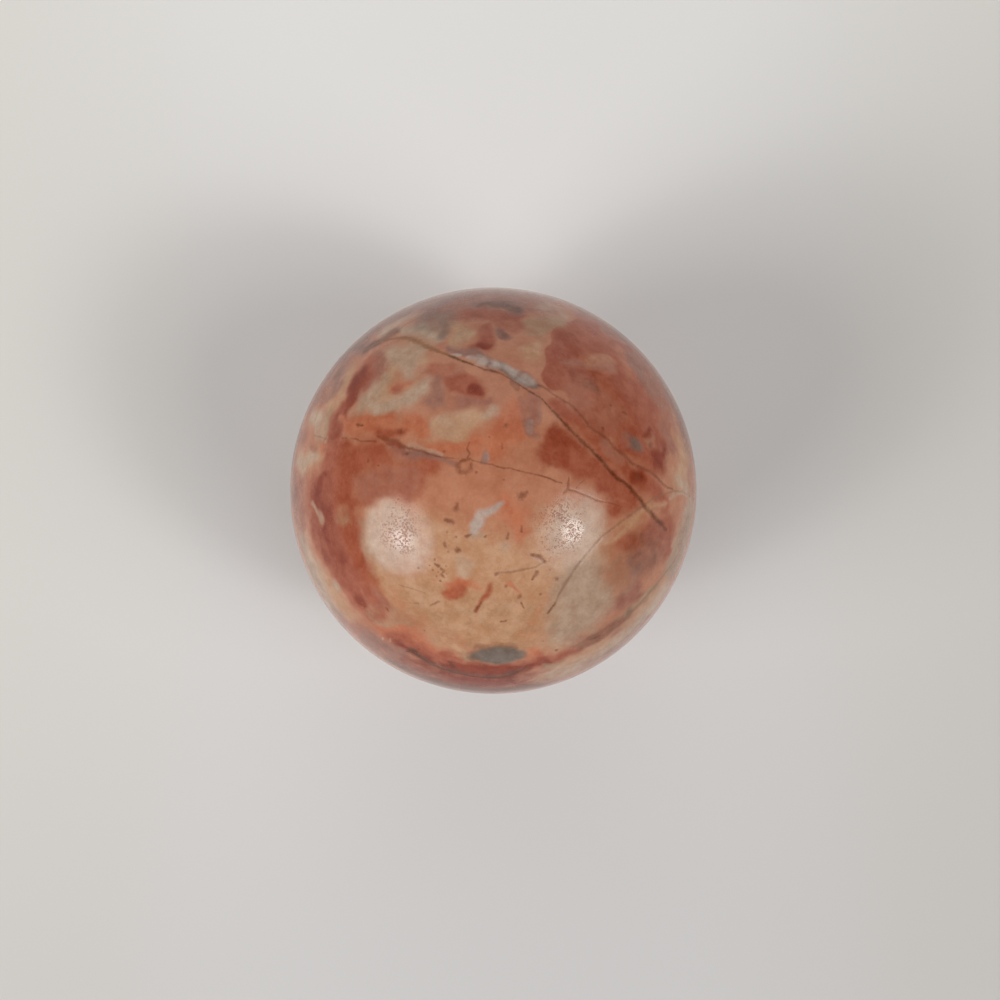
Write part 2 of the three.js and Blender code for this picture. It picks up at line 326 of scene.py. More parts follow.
    ("buff", 0.7, 0.7, [(-3.6, -20.1, 0.9), (-5.5, -18.3, 1)]),
    ("olive", 0.7, 0.6, [(-3.2, -20.8, 0.9)]),
    ("brick", 0.7, 1, [
        (-6.5, -22.2, 1.2), (-4, -23.2, 1.4), (-1, -23.8, 1.6), (1.5, -23.8, 1.6), (3.8, -22.9, 1.1),
    ]),
    ("blood", 0.7, 1, [(-6, -23.2, 1.2), (-2.5, -23.9, 1.8), (1, -24.1, 1.8), (3.6, -23.3, 1.3)]),
    ("umber", 0.5, 0.3, [(-2.9, -20.3, 0.5), (-1.6, -18.9, 0.3), (0.6, -18.3, 0.25), (2.5, -18.9, 0.25)]),
    ("grey", 0.4, 1, [
        (-2, -20.4, 0.8), (-0.7, -20.35, 1.45), (0.6, -20.3, 1.75), (1.9, -20.35, 1.5),
        (3.2, -20.4, 0.9),
    ]),
    ("umber", 0.6, 0.3, [(-2.7, -20.7, 0.4), (-1.8, -21.5, 0.3)]),
    ("umber", 0.8, 0.62, [(-10.2, -20.8, 0.5), (-9, -22.5, 0.6), (-6, -24.2, 0.6), (-2.7, -25.2, 0.6)]),
    ("umber", 0.8, 0.66, [(-2.7, -25.2, 0.6), (0.5, -25.4, 0.65), (2.4, -24.6, 0.6), (4.2, -23.2, 0.3)]),
    ("orange", 0.8, 0.8, [(4.8, -20.5, 0.9), (5.8, -21.5, 0.8)]),
    ("brick", 0.8, 0.9, [(4.8, -22.3, 0.9), (7, -22, 0.9), (9, -21.4, 0.8), (11, -20.6, 0.5)]),
    ("blood", 0.5, 0.5, [(4.5, -22.6, 0.5), (7.5, -22.1, 0.4)]),
    ("olive", 0.7, 0.8, [(6.5, -23, 0.5), (8.5, -23.1, 0.5)]),
    ("cream", 0.2, 0.8, [(8.5, -23.9, 0.12), (9, -24.4, 0.15)]),
    ("rose", 0.9, 0.4, [(9.5, -19.2, 0.7), (12, -19.3, 0.8)]),
    ("rose", 1.2, 0.9, [(-12.5, -24, 1.5), (-9, -26, 1.3)]),
    ("blood", 1.2, 0.5, [(-11.5, -23.3, 1.2), (-8, -25, 1)]),
    ("blood", 1.5, 1, [(-11, -23.6, 1.1), (-5, -26.6, 2), (-1, -27.2, 2.2), (3.2, -26.2, 1.6)]),
    ("rose", 1.3, 0.7, [(4, -25.5, 1), (7, -25, 0.8)]),
    ("buff", 1.5, 0.7, [(5.5, -27.5, 1.2), (8, -27, 1.5)]),
    ("cream", 2, 0.6, [(12, -24.5, 1.6), (8, -25.5, 1.2)]),
    ("rose", 2, 0.5, [(-15, -24, 1.8), (-9, -28, 2)]),
    ("blood", 2.5, 0.75, [(-9, -28.5, 1.5), (0, -30.5, 2), (6, -29, 1.5)]),
    ("mauve", 2, 0.7, [(-16, -27, 1.8), (-8, -32, 2), (0, -33, 2.2), (8, -32, 2)]),
    ("umber", 2.5, 0.7, [(-16, -26, 1.2), (-8, -30, 2), (0, -31.5, 2.4), (8, -31, 2)]),
    # the far edge
    ("rose", 2, 0.6, [(-8, 25, 3), (0, 27, 3), (7, 25, 2)]),
    ("mauve", 2.5, 0.5, [(-8, 31, 2.5), (0, 31.5, 2.5), (8, 31, 2.5)]),
    ("mauve", 1.2, 0.7, [(-9, 25.5, 1.2), (-6.5, 27.8, 1.3)]),
    ("cream", 1.5, 0.35, [(8.3, 22.8, 1), (8, 25, 1.2)]),
    ("brick", 0.7, 1, [
        (-3.6, 22.3, 1.1), (-1.5, 22.6, 1), (0.5, 22, 1.3), (2.8, 21.9, 1.1), (3.8, 22.5, 0.9),
    ]),
    ("mauve", 0.9, 0.9, [(-2.5, 24.8, 0.7), (0.5, 25.5, 1), (3, 24.6, 1.2), (3.5, 23.2, 0.9)]),
    ("umber", 0.8, 0.5, [(-1.5, 24.4, 0.5), (1, 25, 0.7), (3.2, 23.5, 0.7)]),
    ("brick", 0.6, 1, [(-1.7, 16, 0.7), (-0.7, 16.2, 1), (-0.6, 18, 1), (-0.8, 19.8, 0.8)]),
    ("blood", 0.4, 0.6, [(-0.8, 16.1, 0.7)]),
    ("brick", 1.2, 0.5, [(2.5, 20.3, 1.3), (1.5, 20, 1)]),
    ("olive", 1, 0.45, [(4.8, 19.5, 1), (6.5, 21, 1.2), (8.4, 21.6, 1)]),
    ("buff", 0.6, 0.7, [(4, 15.3, 0.6), (5.5, 17, 0.6)]),
    ("mauve", 0.5, 0.7, [(0.8, 19, 0.4), (1.6, 18, 0.7)]),
    ("umber", 0.5, 0.35, [(0.9, 18.8, 0.3), (1.5, 18.1, 0.5)]),
    ("buff", 0.9, 0.7, [(-4.4, 20, 1), (-3.9, 18.2, 1.3)]),
    ("olive", 1.2, 0.25, [(-4, 18.3, 1.2)]),
    ("cream", 0.9, 0.8, [(-11.5, 21, 0.9), (-9.5, 20.5, 1.3), (-7.8, 19.3, 1.2), (-6.8, 17.9, 0.6)]),
    ("grey", 1.3, 0.35, [(-8.6, 22.2, 1.5), (-6.6, 21.6, 1.7)]),
    ("grey", 0.7, 0.45, [(-6.3, 21.5, 0.7), (-5.8, 20, 0.5), (-6.2, 18.4, 0.35)]),
    ("cream", 0.3, 0.7, [(-7.3, 18, 0.3), (-6.9, 17.6, 0.2)]),
    # the pale chalcedony along the long fracture
    ("mauve", 0.4, 0.9, [(-5, 16.3, 0.3), (-3.3, 15.9, 0.6), (-2.2, 15.3, 0.6), (-1.4, 14.7, 0.5)]),
    ("mauve", 0.4, 0.7, [
        (-0.6, 14.2, 0.5), (0.9, 13.6, 0.6), (2.2, 12.7, 0.65), (3.5, 11.9, 0.6), (4.8, 11.2, 0.4),
    ]),
    ("grey", 0.3, 0.5, [(0.9, 13.4, 0.3), (2.2, 12.5, 0.35), (3.5, 11.7, 0.35), (4.6, 11.1, 0.3)]),
    ("milk", 0.3, 0.5, [(-4.3, 15.45, 0.14), (-3.6, 15.35, 0.2)]),
    ("milk", 0.3, 0.5, [(-2.7, 14.8, 0.18), (-2.2, 14.6, 0.2)]),
    ("milk", 0.45, 0.48, [(-1.5, 14.5, 0.35), (-0.8, 14.15, 0.3)]),
    ("milk", 0.5, 0.5, [(0.2, 14, 0.35), (1.2, 13.6, 0.45), (2.4, 12.8, 0.4)]),
    ("milk", 0.3, 0.35, [(1, 13.7, 0.25), (2.7, 12.6, 0.25)]),
    ("milk", 0.45, 0.42, [(3.3, 12.1, 0.35), (4.2, 11.6, 0.35)]),
    ("umber", 0.3, 0.6, [(-0.2, 13.9, 0.25)]),
    ("umber", 0.3, 0.35, [(2.3, 11.6, 0.2), (3, 11, 0.25)]),
]

# Lines and small spots on the side that shows, in the same millimetres
LINES = {
    "fracture": [
        [(-5, 15.35, 0.15), (-4.3, 15, 0.15), (-3.5, 14.5, 0.12), (-2.6, 14.1, 0.1), (-1.6, 13.6, 0.08),
         (-0.8, 13.2, 0.15), (0, 13.05, 0.18), (0.9, 12.75, 0.12), (2, 12, 0.07), (3, 11.3, 0.08),
         (4, 10.6, 0.14), (4.5, 10.3, 0.12), (5.3, 9.8, 0.1), (6, 9, 0.12), (6.5, 8.4, 0.15),
         (7, 7.9, 0.2), (7.5, 7.3, 0.12), (8, 6.8, 0.27), (8.6, 6.2, 0.2), (9, 5.8, 0.2),
         (9.9, 4.9, 0.27), (10.5, 4.5, 0.2), (11, 4, 0.2), (12, 3.1, 0.24), (13, 2, 0.24),
         (14, 1.2, 0.24), (15, 0.7, 0.2), (15.8, 0.1, 0.27), (16.5, -0.6, 0.27), (17, -1, 0.24),
         (18, -2, 0.27), (19, -2.8, 0.3), (20, -3.6, 0.27), (21, -4.2, 0.27), (22, -4.9, 0.3),
         (22.4, -5.2, 0.14)],
        [(-11.3, -21.2, 0.2), (-10.2, -20.7, 0.45), (-9.5, -21.8, 0.28), (-8.5, -22.7, 0.22),
         (-7.6, -23.3, 0.3), (-6.8, -23.8, 0.28), (-5.8, -24.1, 0.32), (-5, -24.4, 0.22),
         (-3, -25, 0.2), (-1.5, -25.2, 0.18), (0, -25.3, 0.25), (1, -25.3, 0.35), (2, -24.9, 0.25),
         (3, -24.2, 0.28), (3.8, -23.6, 0.2), (4.4, -22.8, 0.12)],
        [(-5.5, -22, 0.3), (-5.1, -23, 0.3)],
    ],
    "rust": [
        [(-15.3, 19.9, 0.24), (-14, 19.7, 0.2), (-12.4, 19.6, 0.22), (-11.4, 19.4, 0.3),
         (-10.4, 19, 0.34), (-9.4, 18.3, 0.34), (-8.5, 17.6, 0.3), (-7.7, 16.95, 0.3), (-7, 16.5, 0.3),
         (-6.2, 16, 0.2), (-4.8, 15.3, 0.15), (-3.6, 14.6, 0.2), (-2.2, 13.9, 0.15)],
    ],
    "seam": [
        [(5, 11.4, 0.13), (5.6, 11.2, 0.16), (6.2, 10.8, 0.16), (6.6, 10.4, 0.13), (7.5, 9.9, 0.16),
         (8.7, 9.2, 0.16), (9.3, 8.6, 0.16), (10, 7.8, 0.16), (10.6, 6.9, 0.16), (11.3, 6.4, 0.16),
         (12, 6.1, 0.2), (13, 5.4, 0.2), (14, 4.4, 0.2), (15, 3.9, 0.22), (16, 3, 0.23), (17, 2.7, 0.2),
         (18, 2.35, 0.2), (19, 2.1, 0.2), (20, 1.5, 0.2), (21, 0.8, 0.2), (22, 0.3, 0.16),
         (23.3, 0.1, 0.1)],
        [(-18, 6.15, 0.12), (-17.3, 6.1, 0.12)],
        [(-16.6, 6, 0.08), (-15.6, 5.8, 0.1), (-15, 5.5, 0.1), (-14, 5.45, 0.13), (-13, 5.35, 0.12)],
        [(-12.8, 5.9, 0.15), (-12, 5.7, 0.22), (-11.3, 5.4, 0.28), (-10.3, 5.1, 0.24),
         (-9.8, 4.7, 0.24), (-9.2, 4.4, 0.22), (-8.3, 4.2, 0.17), (-7.2, 3.95, 0.14), (-6.5, 3.6, 0.1),
         (-5.3, 3.3, 0.1), (-4.2, 3.2, 0.08), (-3.4, 3.1, 0.05)],
        [(-11.6, 5, 0.1), (-10.8, 4.6, 0.12)],
        [(-2.1, 2.95, 0.08), (-1, 2.7, 0.09), (0, 2.5, 0.09), (0.8, 2.2, 0.1), (2, 2.1, 0.09),
         (3, 1.8, 0.09), (4, 1.6, 0.1), (5, 1.4, 0.1), (6, 1.1, 0.1), (6.6, 0.8, 0.1),
         (7.3, 0.65, 0.08)],
        [(8.1, 1.3, 0.08), (8, 0.6, 0.12), (7.9, 0, 0.22), (7.5, -0.35, 0.12)],
        [(7.9, 0, 0.15), (8.6, -0.15, 0.1), (9.6, -0.5, 0.1), (10.4, -0.8, 0.09), (11.2, -1.15, 0.1),
         (12, -1.35, 0.08), (13, -1.5, 0.08), (14, -1.8, 0.08), (15, -2.05, 0.06)],
        [(8.9, 0.1, 0.06), (9.3, 0.6, 0.07), (9.9, 1, 0.05)],
        [(-2.3, 3.1, 0.15), (-3.2, 2.9, 0.2), (-3.6, 2.4, 0.26), (-3.3, 1.8, 0.3), (-2.7, 1.7, 0.26),
         (-2.2, 2.1, 0.24), (-2.15, 2.6, 0.18)],
        [(-2.3, 4.9, 0.06), (-2.6, 4.2, 0.12), (-2.3, 3.6, 0.12), (-2.6, 3.1, 0.08)],
    ],
    "vein": [
        [(29, -1, 0.08), (26, -0.25, 0.12), (23.5, -0.15, 0.15), (22, -0.45, 0.13), (21, -0.65, 0.13),
         (20.2, -0.9, 0.12), (19, -1.2, 0.12), (18, -1.8, 0.15), (17, -2.2, 0.18), (16, -2.8, 0.18),
         (15, -3.4, 0.15), (14, -4, 0.15), (13, -4.6, 0.15), (12, -5.3, 0.15), (11, -6.4, 0.12),
         (10.2, -7.3, 0.15), (9, -8.8, 0.18), (8, -10.5, 0.2), (7.3, -12, 0.15), (7, -13, 0.17),
         (6.3, -14.1, 0.1)],
        [(-18, 19, 0.15), (-16.5, 19.4, 0.2), (-15.2, 19.9, 0.22), (-13.8, 20.6, 0.22),
         (-12.2, 21.8, 0.2), (-10.7, 22.9, 0.15), (-9.5, 23.5, 0.08)],
        [(27.5, -8, 0.15), (26, -10, 0.2), (24, -11.3, 0.2), (22.5, -12.6, 0.2), (21, -13.9, 0.25),
         (19.5, -15.2, 0.2), (18.5, -16.2, 0.12)],
        [(-24.2, 7.4, 0.1), (-22.5, 6.9, 0.12), (-21, 6.4, 0.1), (-19.4, 5.9, 0.1)],
        [(5.6, -7.7, 0.1), (4.6, -8.3, 0.12), (3.4, -8.5, 0.12), (2, -8.8, 0.15), (0.5, -8.8, 0.12)],
        [(-10.5, -10.8, 0.1), (-9, -11.1, 0.1), (-7.5, -11.5, 0.08)],
    ],
    "fleck": [
        [(3, -0.75, 0.4), (3.6, -0.3, 0.15)], [(-3.6, -1.6, 0.2), (-3.7, -2, 0.3)],
        [(-4.8, -3.2, 0.2), (-4.1, -3.4, 0.28)], [(-5, -5.7, 0.2), (-4.9, -6, 0.15)],
        [(-3.6, -6.4, 0.32)], [(-2.6, -4.9, 0.22), (-2.2, -4.7, 0.1)], [(-3.7, -5, 0.13)],
        [(-4.7, -4.5, 0.13)], [(-4.65, -6.6, 0.13)], [(1.65, -4.5, 0.1), (1.6, -5.1, 0.18)],
        [(3.05, -3.8, 0.1), (3.05, -4.4, 0.15)], [(-0.7, -4.9, 0.15)],
        [(4.1, -6.9, 0.15), (5, -7.15, 0.28), (5.6, -7.8, 0.15)], [(0.45, -9, 0.22)],
        [(4.8, -8.9, 0.25), (4.3, -9.7, 0.12)], [(1.45, -10.4, 0.18)], [(6.2, -8.7, 0.1)],
        [(7, -9.8, 0.25)], [(5.3, -11.5, 0.15)], [(3, -11.7, 0.25)], [(-0.3, 5.4, 0.1)],
        [(1.5, 6.6, 0.25)], [(1, 4.7, 0.08), (1.05, 4.2, 0.15)], [(-1.6, 1.7, 0.15)],
        [(1.2, 0.95, 0.1)], [(-5, 3.9, 0.18)], [(-9.1, 3.8, 0.2)], [(9.4, 4.55, 0.15)],
        [(6.6, 3.8, 0.12)], [(-10, 6.3, 0.3)], [(-15.8, 7.6, 0.2), (-15, 7.4, 0.15)],
        [(-13.9, 3.2, 0.2)], [(-12.5, 2.6, 0.15)], [(12.3, 6.8, 0.2)], [(13.7, 9.7, 0.15)],
        [(15.3, 9.1, 0.15), (15.7, 9, 0.25)], [(-1.15, -12.3, 0.1), (-1.9, -13.5, 0.2)],
        [(3.2, -12.5, 0.12), (3.5, -13.2, 0.08)], [(7, -12.8, 0.12), (6.3, -14, 0.15)],
        [(1, -14.9, 0.15), (1.5, -14.8, 0.15)], [(-6, -12.5, 0.15), (-7, -13.1, 0.1)],
        [(-9.5, -13, 0.06), (-8.3, -12.9, 0.06)], [(8, -20.1, 0.2)], [(-9.4, -20.2, 0.2)],
        [(-8.1, -16.8, 0.1)], [(-12.7, -14.2, 0.15), (-12.5, -14.6, 0.1)], [(6.1, -18.2, 0.1)],
        [(10.6, -15.9, 0.1)], [(16.5, -17.2, 0.15)], [(-6.1, -8, 0.12), (-5.75, -8.2, 0.2)],
        [(-5.5, -8.45, 0.12), (-5.2, -8.75, 0.24), (-5.3, -9, 0.1)],
        [(-5.45, -9.2, 0.18), (-5.1, -9.5, 0.1)], [(-6, -9.4, 0.12)], [(-8, -8.6, 0.1)],
        [(-6.4, -8.7, 0.13)], [(-5.8, -8.9, 0.12)], [(-5.6, -9.9, 0.15)], [(-4.9, -8.2, 0.12)],
        [(-6.1, -7.5, 0.12)], [(-4.9, -9.1, 0.1)], [(-6.7, -8.2, 0.1)],
    ],
}
# Each kind of line: its colour, how strongly it shows, and its groove's depth in millimetres
LINE_KINDS = {
    "rust": ((0.27, 0.105, 0.035), 1.0, 0.012),
    "vein": ((0.26, 0.13, 0.075), 0.62, 0.006),
    "seam": ((0.23, 0.07, 0.035), 0.82, 0.01),
    "fleck": ((0.19, 0.055, 0.028), 0.8, 0.015),
    "fracture": ((0.115, 0.03, 0.01), 0.85, 0.012),
}
# Patches under the two lamp highlights, where the pits are larger and hold more painted shade, so that
# the highlights look speckled: right of the crown, beyond it, and half the width
HIGHLIGHT_SPECKLE = [
    (7.8, -4, 3.2), (6.2, -3.2, 2.4), (6.4, -5.6, 2.4), (-10.2, -4.6, 3.2), (-9.8, -2, 2.2),
]
HIGHLIGHT_SPECKLE_EDGE = (-0.5, 1.8)  # how far inside such a patch the extra pits begin, and are all there
LINE_STEP = 0.1  # millimetres between the points that stand for a line
FAR_OFF = 12  # half widths: farther than this from a line is all the same
GROOVE_SIDE = (0.2, 1.6)  # half widths off the line where its groove begins to rise, and ends

# The hidden sides: fractures that wander, and where the painted side gives way to them
HIDDEN_LINES = {  # how many of each, and their shortest and longest
    "fracture": (3, 22, 48),
    "seam": (6, 15, 40),
    "vein": (3, 22, 48),
    "rust": (1, 22, 48),
    "fleck": (70, 0.25, 0.9),
}
HIDDEN_LINES_SEED = 5
HIDDEN_HALF_WIDTHS = (0.1, 0.2)
HIGHEST_START = 0.1  # a wandering line starts on the lower half, or hardly above it,
LOW_STARTS = 0.6  # and mostly this far below that
UNSTEADY = 0.012  # how much its bend changes from step to step
BEND_LENGTH = 3  # millimetres in which it makes such a bend
PAINTED_TO = 30  # millimetres over the surface from the crown, and the next two also
HIDDEN_LINES_FROM = 33
HIDDEN_FROM = 34.5
HIDDEN_PATCHES = (3.5, 24)  # the shortest and longest waves of the pattern there
HIDDEN_CONTRAST = 1.6
HIDDEN_SEED = 40

# How the outlines of the markings wander, and how deep in a mineral a place can lie
WARP = 0.28  # millimetres, for a mineral as ragged as USUAL_RAGGED
WARP_WAVES = (1.5, 6)
WARP_SEEDS = (11, 12)
USUAL_RAGGED = 0.4
DEEPEST = 1.6
NO_TRACE = -2.2

WAVES = 24  # in each smooth random pattern
FAR_OUTSIDE = -1000  # millimetres
TINY = 1e-9  # in place of a length of nothing, where it is divided by

# The material's patterns: how many to a millimetre, and how detailed and rough each one is
PATTERNS = {
    "cloud": (0.3, 5, 0.6),
    "mottle": (0.55, 5, 0.68),
    "outline": (0.75, 3, 0.6),
    "grain": (3.2, 3, 0.6),
    "pit_patches": (0.5, 2, 0.55),
}
CLOUD_SEED = 1.7
MOTTLE_SEEDS = (2.7, 6.1)
OUTLINE_SEEDS = (1.3, 4.9, 8.2)
GRAIN_SEED = 9.4
PIT_PATCHES_SEED = 3.3
# Between which values of a pattern the dark tone gives way to the light one
CLOUD_STEP = (0.35, 0.65)
MOTTLE_STEP = (0.34, 0.66)
GRAIN_STEP = (0.3, 0.7)
GRAIN_SHADES = (0.885, 0.985)  # the share of the colour that the grain leaves
OUTLINE_WANDER = 5.0  # how strongly a pattern moves the outline of a mineral
# A line's edge, in half widths: how far it wobbles to either side, and where its fade lies
LINE_WOBBLE = 0.9
LINE_EDGE = (0.1, 1.7)
# Between which values of the outline pattern a line goes from faint to full
LINE_BREAKS = (0.3, 0.6)
LINE_FAINT = 0.45

# The polish and its fine pits. The lengths are in millimetres.
STONE_IOR = 1.54
GLOSS = 0.26
POLISH_ROUGHNESS = 0.15
PIT_ROUGHNESS = 0.38
PIT_SPACING = 0.25
PIT_DEPTH = 0.004
PIT_WANDER = 0.45
PIT_WANDERS_PER_MM = 3.5
# Painted shade in each pit: the pits are coloured darker for the shade and the missing gloss in them
PIT_SHADE_COLOUR = (0.24, 0.05, 0.025)
PIT_SHADE_SHARE = 0.25  # how much of that colour a pit has
# Under the two lamp highlights the pits hold more of that painted shade, so that the highlights look
# speckled
HIGHLIGHT_SPECKLE_SHARE = 0.32  # and how much more of it where the polish has more pits
# The pits' sizes, in spacings: between these two in the usual polish, and larger in HIGHLIGHT_SPECKLE
# under the two lamp highlights
PIT_PATCH_STEP = (0.35, 0.65)
PIT_SIZES = (0.05, 0.3)
HIGHLIGHT_SPECKLE_WIDENING = 0.26
PIT_RIM = (-0.16, 0.12)  # where the soft rim lies, inside and outside that size


def deselect_all():
    bpy.ops.object.select_all(action="DESELECT")


def put(tree, kind, inputs=None, **settings):
    """Adds a node, changes its settings, and links or sets its inputs."""
    made = tree.nodes.new(kind)
    for name, value in settings.items():
        setattr(made, name, value)
    for socket, value in (inputs or {}).items():
        if isinstance(value, bpy.types.NodeSocket):
            tree.links.new(value, made.inputs[socket])
        else:
            made.inputs[socket].default_value = value
    return made


def opaque(colour):
    return (*colour, 1)


def new_material(name):
    material = bpy.data.materials.new(name)
    material.use_nodes = True
    return material


def make_camera():
    bpy.ops.object.camera_add(
        location=(LENS_TO_THE_RIGHT, -LENS_TO_THE_FRONT, BALL_CENTRE.z + LENS_ABOVE_CENTRE)
    )
    camera = bpy.context.object
    camera.name = "overhead_camera"
    camera.rotation_euler = (0, 0, 0)
    camera.data.sensor_width = SENSOR_MM
    camera.data.lens = SENSOR_MM * FOCAL_LENGTH_PX / PHOTO_WIDTH_PX
    camera.data.clip_start = 1 * MM
    camera.data.clip_end = 10  # metres
    bpy.context.scene.camera = camera


def make_lamp(name, way, width, height, distance, brightness):
    """A soft flat lamp that faces the ball from the given side."""
    way = Vector(way).normalized()
    bpy.ops.object.light_add(type="AREA", location=BALL_CENTRE + way * distance * MM)
    lamp = bpy.context.object
    lamp.name = name
    lamp.rotation_mode = "QUATERNION"
    lamp.rotation_quaternion = (-way).to_track_quat("-Z", "Y")
    lamp.data.shape = "ELLIPSE"
    lamp.data.size = width * MM
    lamp.data.size_y = height * MM
    face_area = math.pi / 4 * width * height * MM**2
    lamp.data.energy = brightness * math.pi * face_area
    lamp.visible_camera = False


def make_lamps():
    for name, (way, (width, height, distance), brightness) in LAMPS.items():
        make_lamp(name, way, width, height, distance, brightness)


def light_room():
    """A dim even light, with a pale backdrop where the camera looks past the floor."""
    world = bpy.data.worlds.new("pale_room")
    world.use_nodes = True
    tree = world.node_tree
    dim = tree.nodes["Background"]
    dim.inputs["Color"].default_value = opaque(ROOM_TINT)
    dim.inputs["Strength"].default_value = ROOM_LIGHT
    pale = put(tree, "ShaderNodeBackground", {"Color": opaque(BACKDROP), "Strength": 1.0})
    seen = put(tree, "ShaderNodeLightPath").outputs["Is Camera Ray"]
    room = put(tree, "ShaderNodeMixShader", {0: seen, 1: dim.outputs[0], 2: pale.outputs[0]})
    tree.links.new(room.outputs[0], tree.nodes["World Output"].inputs["Surface"])
    bpy.context.scene.world = world


def paper_with_painted_falloff(tree, point):
    """The paper's colour, with painted shade at the front right and to the sides, and painted light at
    the back left.
    """
    across = put(tree, "ShaderNodeVectorMath", {0: point, 1: PAINTED_FALLOFF_WAY}, operation="DOT_PRODUCT")
    painted_light_share = rise(tree, across.outputs["Value"], -PAINTED_FALLOFF_REACH, PAINTED_FALLOFF_REACH)
    dark, pale = FLOOR_SHADED_AND_LIT_TONES
    colour = mix_colours(tree, painted_light_share, opaque(dark), opaque(pale))
    to_the_right = put(tree, "ShaderNodeSeparateXYZ", {0: point}).outputs["X"]
    painted_shade_share = rise(tree, math_node(tree, "ABSOLUTE", to_the_right), *SIDES)
    return mix_colours(tree, painted_shade_share, colour, opaque(SIDE_PAINTED_SHADE), "MULTIPLY")


def fade_into_backdrop(tree, point, paper):
    """Far from the ball, the camera sees the paper give way to the backdrop."""
    away = put(tree, "ShaderNodeVectorMath", {0: point}, operation="LENGTH").outputs["Value"]
    far = rise(tree, away, FLOOR_SEEN_TO, BACKDROP_FROM)
    seen = put(tree, "ShaderNodeLightPath").outputs["Is Camera Ray"]
    share = math_node(tree, "MULTIPLY", far, seen)
    backdrop = put(tree, "ShaderNodeEmission", {"Color": opaque(BACKDROP)}).outputs[0]
    surface = put(tree, "ShaderNodeMixShader", {0: share, 1: paper, 2: backdrop})
    tree.links.new(surface.outputs[0], tree.nodes["Material Output"].inputs["Surface"])


def make_paper():
    material = new_material("pale_paper")
    tree = material.node_tree
    shader = tree.nodes["Principled BSDF"]
    point = put(tree, "ShaderNodeTexCoord").outputs["Object"]
    tree.links.new(paper_with_painted_falloff(tree, point), shader.inputs["Base Color"])
    shader.inputs["Roughness"].default_value = PAPER_ROUGHNESS
    fade_into_backdrop(tree, point, shader.outputs[0])
    return material


def make_floor():
    bpy.ops.mesh.primitive_circle_add(vertices=FLOOR_SIDES, radius=FLOOR_RADIUS, fill_type="NGON")
    floor = bpy.context.object
    floor.name = "pale_floor"
    floor.data.materials.append(make_paper())


def vertex_places(mesh):
    """The mesh's vertices in millimetres from the ball's centre."""
    places = np.empty(len(mesh.vertices) * 3)
    mesh.vertices.foreach_get("co", places)
    return (places.reshape(-1, 3) - np.array(BALL_CENTRE)) / MM


def move_vertices(mesh, places):
    mesh.vertices.foreach_set("co", (places * MM + np.array(BALL_CENTRE)).ravel())
    mesh.update()


def face_places(mesh):
    places = np.empty(len(mesh.polygons) * 3)
    mesh.polygons.foreach_get("center", places)
    return (places.reshape(-1, 3) - np.array(BALL_CENTRE)) / MM


def over_surface(places):
    """Where each place lies over the surface from the crown: to the right, and beyond."""
    across = np.hypot(places[:, 0], places[:, 1])
    angle = np.arctan2(across, places[:, 2])
    stretch = RADIUS_MM * angle / np.maximum(across, TINY)
    return places[:, 0] * stretch, places[:, 1] * stretch


def on_ball(right, beyond):
    """The place on the ball, in millimetres from its centre, of a point over the surface."""
    reach = np.maximum(np.hypot(right, beyond), TINY)
    angle = reach / RADIUS_MM
    ring = RADIUS_MM * np.sin(angle) / reach
    return np.stack([right * ring, beyond * ring, RADIUS_MM * np.cos(angle)], axis=-1)


def swell(places, shortest, longest, seed):
    """A smooth random height, mostly between -1 and 1, from crossing waves."""
    chance = np.random.default_rng(seed)
    ways = chance.normal(size=(WAVES, 3))
    ways /= np.linalg.norm(ways, axis=1, keepdims=True)
    lengths = np.geomspace(shortest, longest, WAVES)
    phases = chance.uniform(0, 2 * math.pi, WAVES)
    heights = np.sqrt(lengths)
    waves = np.sin(places @ (2 * math.pi * ways / lengths[:, None]).T + phases)
    usual_peak = 0.9 * np.linalg.norm(heights)
    return waves @ heights / usual_peak


def ease(value, start, end):
    """0 below start, 1 above end, with a soft step between them."""
    share = np.clip((value - start) / (end - start), 0, 1)
    return share * share * (3 - 2 * share)


def inside_marking(route, right, beyond):
    """How far inside the marking each place is: its half width less the way to its route."""
    best = np.full(right.shape, float(FAR_OUTSIDE))
    ends = route[1:] or route
    for (x0, y0, w0), (x1, y1, w1) in zip(route, ends):
        dx, dy = x1 - x0, y1 - y0
        along = ((right - x0) * dx + (beyond - y0) * dy) / max(dx * dx + dy * dy, TINY)
        along = np.clip(along, 0, 1)
        off = np.hypot(right - x0 - along * dx, beyond - y0 - along * dy)
        best = np.maximum(best, w0 + (w1 - w0) * along - off)
    return best


def paint_minerals(places):
    """How deep in each mineral every place lies: 1 is all of it and -1 none of it."""
    warp = [WARP * swell(places, *WARP_WAVES, seed) for seed in WARP_SEEDS]
    right, beyond = over_surface(places)
    order = list(MINERALS)
    depths = {name: np.full(len(places), NO_TRACE) for name in order}
    for mineral, fade, cover, route in MARKINGS:
        _, _, ragged, _ = MINERALS[mineral]
        wander = ragged / USUAL_RAGGED
        wandered = right + wander * warp[0], beyond + wander * warp[1]
        depth = inside_marking(route, *wandered) / fade
        depth = np.minimum(depth, (DEEPEST + 1) * cover - 1)
        depths[mineral] = np.maximum(depths[mineral], depth)
        for above in order[order.index(mineral) + 1 :]:
            depths[above] = np.minimum(depths[above], -depth)
    hidden = ease(np.hypot(right, beyond), PAINTED_TO, HIDDEN_FROM)
    for seed, (name, (_, _, _, extent)) in enumerate(MINERALS.items(), HIDDEN_SEED):
        wild = HIDDEN_CONTRAST * swell(places, *HIDDEN_PATCHES, seed) + extent
        painted = np.maximum(depths[name], NO_TRACE)
        depths[name] = np.clip(painted * (1 - hidden) + wild * hidden, NO_TRACE, DEEPEST)
    return depths


